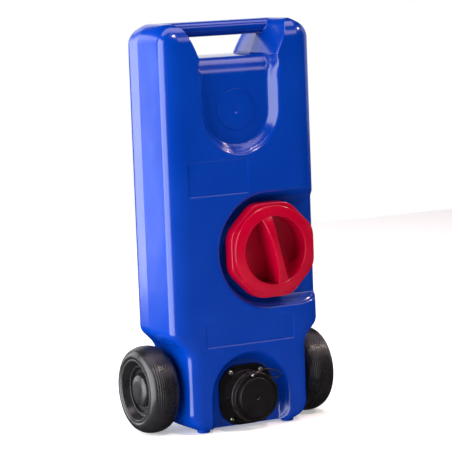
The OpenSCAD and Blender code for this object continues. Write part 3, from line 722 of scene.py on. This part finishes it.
def gripSkin(lengthwise=90):
    # a bar across the cup: narrow at its waist, wider at both ends, crowned along its length
    t = np.linspace(-1, 1, lengthwise)
    half = cap["gripWaist"] + (cap["gripEnd"] - cap["gripWaist"]) * np.abs(t) ** 2.4
    crest = cap["mouth"] - cap["gripProud"] * (1 - np.abs(t) ** 2.6) + 0.6 * np.abs(t) ** 6
    edge = cap["gripEdge"]
    bend = np.linspace(0, math.pi / 2, 7)
    rows = []
    for way in (-1, 1):
        cx = half[:, None] - edge + edge * np.cos(bend)[None, :]
        cy = crest[:, None] + edge - edge * np.sin(bend)[None, :]
        foot = np.stack([half + 1.6, half + 0.8], -1)
        footY = np.stack([np.full(lengthwise, cap["cupFloor"] + 0.5), (crest + cap["cupFloor"]) / 2], -1)
        x = np.concatenate([foot, cx], 1) * way
        y = np.concatenate([footY, cy], 1)
        rows.append((x, y) if way < 0 else (x[:, ::-1], y[:, ::-1]))
    across = np.concatenate([rows[0][0], rows[1][0]], 1)
    depth = np.concatenate([rows[0][1], rows[1][1]], 1)
    deepShare = np.clip((depth - cap["mouth"]) / (cap["cupFloor"] - cap["mouth"]), 0, 1)
    reach = cap["cup"] + 1.2 + (cap["cupFoot"] - cap["cup"]) * deepShare
    reach = np.sqrt(np.maximum(reach ** 2 - across ** 2, 1))
    along = t[:, None] * reach
    lean = math.radians(cap["gripLean"])
    x = across * math.cos(lean) - along * math.sin(lean)
    z = across * math.sin(lean) + along * math.cos(lean)
    points = np.stack([pocket["x"] + x, depth, pocket["z"] + z], -1)
    return points.reshape(-1, 3), gridFaces(lengthwise, across.shape[1])


makePiece("inspectionCap", [capSkin(), gripSkin()], "inspection_cap", capRed,
          hides=("inspection_cap",), sharp=50)
print("inspection cap made")

# ---- drain outlet ----
outlet = {
    "z": 63, "plate": 57, "plateCorner": 42, "plateFront": 20, "plateThick": 3, "bore": 36, "spigot": 41,
    "front": -13, "back": 36.5, "collar": 47, "collarLong": 6, "pinDepth": 9, "pinRadius": 2.5,
    "pinReach": 47.5,
    "screwX": 32, "screwZ": 44.5, "head": 4.6, "headFront": 17,
}
drainCap = {
    "face": -19, "disc": 36.75, "discHigh": 5, "gate": 4.5, "rim": 46.5, "band": 9, "sleeve": 45.1,
    "back": -1,
    "inner": 41.4, "under": -16, "lugAngle": 19, "lugHalf": 3.8, "lugHigh": 3.4,
}


def roundedSquare(angle):
    # distance to the side of a square with round corners, over its half width
    half, r = outlet["plate"], outlet["plateCorner"]
    a = np.maximum(np.abs(np.cos(angle)), np.abs(np.sin(angle)))
    b = np.minimum(np.abs(np.cos(angle)), np.abs(np.sin(angle)))
    s = (half - r) * (a + b)
    bend = s + np.sqrt(np.maximum(s ** 2 - 2 * (half - r) ** 2 + r ** 2, 0))
    return np.where(half * b / a <= half - r, half / a, bend) / half


def flangeSkin(around=192):
    # a section turned about the outlet's axis, its plate scaled by the rounded square's outline
    o = outlet
    front, back = o["plateFront"], o["plateFront"] + o["plateThick"]
    rounded = roundedLine([
        (o["bore"], o["back"]), (o["bore"], o["front"], 1), (o["spigot"], o["front"], 1),
        (o["spigot"], front - o["collarLong"], 0.6), (o["collar"], front - o["collarLong"], 1.2),
        (o["collar"], front, 1.2), (o["plate"], front, 0.9), (o["plate"], back, 0.4),
        (o["spigot"], back, 0.3),
        (o["spigot"], o["back"], 0.6), (o["bore"], o["back"])])
    share = (rounded[:, 0] > o["plate"] - 2).astype(float)
    return turned(rounded, (0, 0, o["z"]), around, roundedSquare, share)


def pinSkins(around=24):
    # four pins standing out from the spigot, right, left, up and down
    o = outlet
    line = roundedLine([(o["pinRadius"], o["spigot"] - 1), (o["pinRadius"], o["pinReach"], 0.8),
                        (0.2, o["pinReach"])])
    made = []
    for facing in ("right", "up"):
        points, faces = capped(turned(line, (0, 0, 0), around, facing=facing), around, first=False)
        centre = np.array([0, o["pinDepth"], o["z"]])
        made.append((points + centre, faces))
        made.append((points * np.array([-1, 1, -1]) + centre, faces))
    return made


def crossRecess(angle):
    # a four-lobed recess in a screw's head
    return 1 + 0.35 * np.cos(4 * angle)


def screwSkins(around=40):
    # four screw heads, each a turned section whose middle is scaled by the recess's outline
    o = outlet
    rounded = roundedLine([
        (0.15, o["headFront"] + 1.1), (1.1, o["headFront"] + 0.9, 0.2), (1.7, o["headFront"] + 0.1, 0.2),
        (3.2, o["headFront"] + 0.1, 1), (o["head"], o["headFront"] + 1.2, 1),
        (o["head"], o["plateFront"] + 0.2)])
    share = (rounded[:, 0] < 2).astype(float)
    return [capped(turned(rounded, (sx * o["screwX"], 0, o["z"] + sz * o["screwZ"]), around, crossRecess,
                          share),
                   around, last=False) for sx in (-1, 1) for sz in (-1, 1)]


def lugged(angle):
    # the rim's own radius, and four lugs standing out from it
    part = np.mod(angle - math.radians(drainCap["lugAngle"]) + math.pi / 4, math.pi / 2) - math.pi / 4
    lug = ease((math.radians(drainCap["lugHalf"]) - np.abs(part)) / math.radians(1.4) + 0.5)
    return 1 + lug * drainCap["lugHigh"] / drainCap["rim"]


def drainCapSkin(around=360):
    # a section turned about the outlet's axis, its band scaled by the lugs' outline
    c = drainCap
    front = c["face"] - c["discHigh"]
    rounded = roundedLine([
        (0.2, front + 1.2), (c["gate"] - 1.2, front + 1.2, 0.4), (c["gate"], front, 0.4),
        (c["disc"], front, 1.3),
        (c["disc"] + 0.4, c["face"], 0.8), (c["rim"] - 3.6, c["face"], 0.4),
        (c["rim"] - 3, c["face"] - 0.9, 0.4),
        (c["rim"], c["face"] - 0.9, 1.3), (c["rim"], c["face"] + 1.6), (c["rim"], c["face"] + 2.1),
        (c["rim"], c["face"] + c["band"] - 1.6), (c["rim"], c["face"] + c["band"] - 1.2),
        (c["rim"], c["face"] + c["band"], 0.8), (c["sleeve"], c["face"] + c["band"], 0.4),
        (c["sleeve"], c["back"], 0.6), (c["inner"], c["back"], 0.6), (c["inner"], c["under"]),
        (0.2, c["under"])])
    share = ((rounded[:, 0] > c["rim"] - 0.01) & (rounded[:, 1] > c["face"] + 1.9)
             & (rounded[:, 1] < c["face"] + c["band"] - 1.4)).astype(float)
    return capped(turned(rounded, (0, 0, outlet["z"]), around, lugged, share), around)


makePiece("outletFlange", [flangeSkin(), *pinSkins()], "tank", outletBlack,
          hides=("outlet_flange",), sharp=40)
makePiece("flangeScrews", screwSkins(), "tank", zincSteel, hides=("flange_screws",), sharp=40)
makePiece("drainCap", [drainCapSkin()], "outlet_cap", outletBlack,
          hides=("outlet_cap",), sharp=40)
rivet = {"line": [(0.1, -24.9), (1.6, -24.7, 0.8), (2.7, -23.6, 0.8), (2.7, -21.2)], "out": 43.5,
         "angle": 101}
rivetLine = roundedLine(rivet["line"])
rivetAngle = math.radians(rivet["angle"])
rivetAt = (rivet["out"] * math.cos(rivetAngle), 0, outlet["z"] + rivet["out"] * math.sin(rivetAngle))
makePiece("leashRivet", [capped(turned(rivetLine, rivetAt, 40), 40, last=False)], "outlet_keeper",
          zincSteel,
          sharp=40)
print("drain outlet made")

# ---- wheels ----
wheel = {
    "outer": 198.5, "width": 60, "tyre": 82.7, "rim": 58, "bore": 6.1, "hub": 16, "hubIn": 134,
    "hubOut": 179.5,
    "dish": 176.5, "capRadius": 31, "capFace": 192, "grooves": 15, "grooveDeep": 0.8, "crown": 18,
    "roundness": 2.1,
}


def tyreLine():
    # the section of the tyre: a crowned tread with fine turned grooves between two plain sides
    w = wheel
    inner = w["outer"] - w["width"]
    outR = w["tyre"] - w["crown"]
    along = np.cos(np.linspace(0, math.pi, 190))       # 1 at the outer side, -1 at the inner side
    high = (1 - np.abs(along) ** w["roundness"]) ** (1 / w["roundness"])
    crown = np.stack([outR + w["crown"] * high, w["outer"] - w["width"] / 2 * (1 - along)], -1)
    start = roundedLine([(w["rim"], w["outer"] - 5), (w["rim"] + 2.4, w["outer"] - 4.6, 0.5),
                         (w["rim"] + 2.6, w["outer"] - 1.4, 0.6), (w["rim"] + 5, w["outer"] - 0.4, 1.5),
                         (outR - 1, w["outer"] - 0.02)])
    end = roundedLine([(outR - 1, inner), (w["rim"] + 2, inner + 2, 2), (w["rim"], inner + 4, 1),
                       (w["rim"], w["outer"] - 5)])
    line = np.concatenate([start, crown, end])
    across = (line[:, 1] - (w["outer"] - w["width"] / 2)) / (w["width"] / 2)
    groove = np.abs(np.cos(across * w["grooves"] * math.pi / 2)) ** 8
    groove = groove * ease((0.8 - np.abs(across)) / 0.25) * (line[:, 0] > w["tyre"] - 6)
    line[:, 0] -= w["grooveDeep"] * groove
    return line


def rimLine():
    # the section of the rim: bore, hub, dish with its ribs, and the flange beside the tyre
    w = wheel
    inner = w["outer"] - w["width"]
    return roundedLine([
        (w["bore"], w["hubIn"]), (w["hub"], w["hubIn"], 0.5), (w["hub"], w["dish"] - 8, 2),
        (w["rim"] - 6, w["dish"] - 8, 2), (w["rim"] - 4, inner + 3, 1), (w["rim"], inner + 3, 0.5),
        (w["rim"], w["outer"] - 4.7, 0.2), (w["rim"] + 2, w["outer"] - 4.5, 0.2),
        (w["rim"] + 2.2, w["outer"] - 0.8, 1.2),
        (w["rim"] - 2.5, w["outer"] - 0.6, 2.4), (w["rim"] - 8, w["dish"] + 6, 2.5),
        (w["rim"] - 11.5, w["dish"] + 5, 0.8),
        (w["rim"] - 12, w["dish"] + 9, 0.8), (w["rim"] - 14.5, w["dish"] + 9, 0.8),
        (w["rim"] - 15.5, w["dish"] + 0.5, 1),
        (w["rim"] - 22, w["dish"] + 0.5, 0.5), (w["rim"] - 22.6, w["dish"] + 3, 0.5),
        (w["rim"] - 24.4, w["dish"] + 3, 0.5),
        (w["rim"] - 25, w["dish"], 0.5), (w["hub"], w["dish"], 0.5), (w["hub"], w["hubOut"], 0.5),
        (w["bore"], w["hubOut"], 0.3), (w["bore"], w["hubIn"])])


def hubCapLine():
    # the section of the hub cap: a shallow dome over a straight skirt
    w = wheel
    return roundedLine([
        (0.2, w["capFace"] + 0.3), (w["capRadius"] - 13, w["capFace"] + 0.1, 10),
        (w["capRadius"] - 2, w["capFace"] - 2.4, 8), (w["capRadius"], w["capFace"] - 9, 4),
        (w["capRadius"], w["dish"] + 0.4, 0.5), (w["capRadius"] - 2, w["dish"] + 0.4, 0.5),
        (w["capRadius"] - 2.6, w["capFace"] - 7, 2), (w["capRadius"] - 9, w["capFace"] - 2.6, 3),
        (0.2, w["capFace"] - 1.8)])


def wheelSkin(line, side, around, ends=False):
    # turned about the axle; the left one is the right one mirrored, with its faces turned back
    part = turned(line, (0, tank["axleDepth"], tank["axleHigh"]), around, facing="right")
    points, faces = capped(part, around) if ends else part
    if side > 0:
        return points, faces
    mirrored = points * np.array([-1, 1, 1])
    return mirrored, [f[:, ::-1] for f in faces] if isinstance(faces, list) else faces[:, ::-1]


for side, word in ((-1, "left"), (1, "right")):
    body = "wheel_" + word
    title = word.capitalize()
    makePiece("tyre" + title, [wheelSkin(tyreLine(), side, 256)], body, tyreBlack,
              hides=("tyre_" + word,), sharp=60)
    makePiece("wheelRim" + title, [wheelSkin(rimLine(), side, 144)], body, wheelBlack,
              hides=("wheel_rim_" + word,), sharp=45)
    makePiece("hubCap" + title, [wheelSkin(hubCapLine(), side, 120, True)], body,
              wheelBlack,
              hides=("hub_cap_" + word,), sharp=45)
print("wheels made")

# ---- pieces kept from the frame ----
keptFinish = {
    "cap_gasket": sealRubber, "flange_gasket": sealRubber, "outlet_cap_seal": sealRubber,
    "flange_washers": zincSteel, "flange_nuts": zincSteel, "leash_collar": leashBrown,
    "leash_anchor": zincSteel,
    "axle": zincSteel, "axle_washers": zincSteel, "push_nuts": zincSteel,
}
for node, finish in keptFinish.items():
    materials = frame["nodes"][node].data.materials
    materials.clear()
    materials.append(finish)

# ---- light and floor ----
stage = {"floor": 2.6, "glow": 0.35, "aim": (0, 0, 0.4)}
softboxes = {  # middle in metres, what it faces, width and height, radiance, colour
    "leftWall": {"at": (-3.0, 0.15, 0.9), "aim": (0, 0.15, 0.9), "size": (4.8, 3.8), "bright": 6.4,
                 "colour": (0.96, 0.97, 1.0)},
    "backLeft": {"at": (-1.5, 3.4, 1.0), "aim": (0, 0, 0.9), "size": (1.5, 2.6), "bright": 2.8,
                 "colour": (1.0, 1.0, 1.0)},
    "ceiling": {"at": (0.0, 0.1, 2.9), "size": (3.2, 1.3), "bright": 3.4, "colour": (1.0, 0.82, 0.96)},
    "frontRight": {"at": (1.6, -2.1, 2.4), "size": (1.3, 0.9), "bright": 3.6, "colour": (1.0, 0.80, 0.90)},
    "rightFill": {"at": (3.4, 0.6, 1.3), "size": (2.2, 2.2), "bright": 0.9, "colour": (1.0, 0.96, 0.98)},
    "backFill": {"at": (1.0, 3.8, 1.6), "size": (2.6, 2.2), "bright": 1.2, "colour": (1.0, 1.0, 1.0)},
}
lamps = {  # small round lamps, high in front
    "nearLamp": {"at": (0.45, -1.9, 3.3), "across": 0.24, "power": 60, "colour": (1.0, 0.80, 0.74)},
    "farLamp": {"at": (2.6, -0.8, 2.6), "across": 0.24, "power": 40, "colour": (1.0, 0.80, 0.74)},
}


def makeFloor():
    # a pale floor that throws light back but doesn't show in the gloss of the pieces
    bpy.ops.mesh.primitive_plane_add(size=stage["floor"] * 2)
    floor = bpy.context.object
    floor.name = "floor"
    floor.visible_glossy = False
    floor.visible_shadow = False     # the soft boxes reach below it, so that low walls still mirror them
    material = bpy.data.materials.new("paleFloor")
    material.use_nodes = True
    shader = material.node_tree.nodes["Principled BSDF"]
    shader.inputs["Base Color"].default_value = (0.86, 0.86, 0.86, 1)
    shader.inputs["Roughness"].default_value = 0.9
    shader.inputs["Emission Color"].default_value = (1, 1, 1, 1)
    # keeps its far side as white as the wall
    shader.inputs["Emission Strength"].default_value = stage["glow"]
    floor.data.materials.append(material)


def addLamp(name, data, place, colour, aim):
    # a lamp at a place, turned to what it faces
    data.color = colour
    lamp = bpy.data.objects.new(name, data)
    way = Vector(place) - Vector(aim)
    lamp.matrix_world = Matrix.Translation(place) @ way.to_track_quat("Z", "Y").to_matrix().to_4x4()
    lamp.visible_camera = False
    bpy.context.scene.collection.objects.link(lamp)


makeFloor()
for name, box in softboxes.items():
    data = bpy.data.lights.new(name, "AREA")
    data.shape = "RECTANGLE"
    data.size, data.size_y = box["size"]
    # power is radiance times pi times area
    data.energy = box["bright"] * math.pi * data.size * data.size_y
    addLamp(name, data, box["at"], box["colour"], box.get("aim", stage["aim"]))
for name, lamp in lamps.items():
    data = bpy.data.lights.new(name, "AREA")
    data.shape = "DISK"
    data.size = lamp["across"]
    data.energy = lamp["power"]
    addLamp(name, data, lamp["at"], lamp["colour"], stage["aim"])
world = bpy.data.worlds.new("studio")
bpy.context.scene.world = world
world.use_nodes = True
world.node_tree.nodes["Background"].inputs["Color"].default_value = (1, 1, 1, 1)
world.node_tree.nodes["Background"].inputs["Strength"].default_value = 1.0
# white behind the tank, but it neither lights it nor shows in it
world.cycles_visibility.glossy = False
world.cycles_visibility.diffuse = False
bpy.context.scene.view_settings.view_transform = "Standard"
print("lights made")
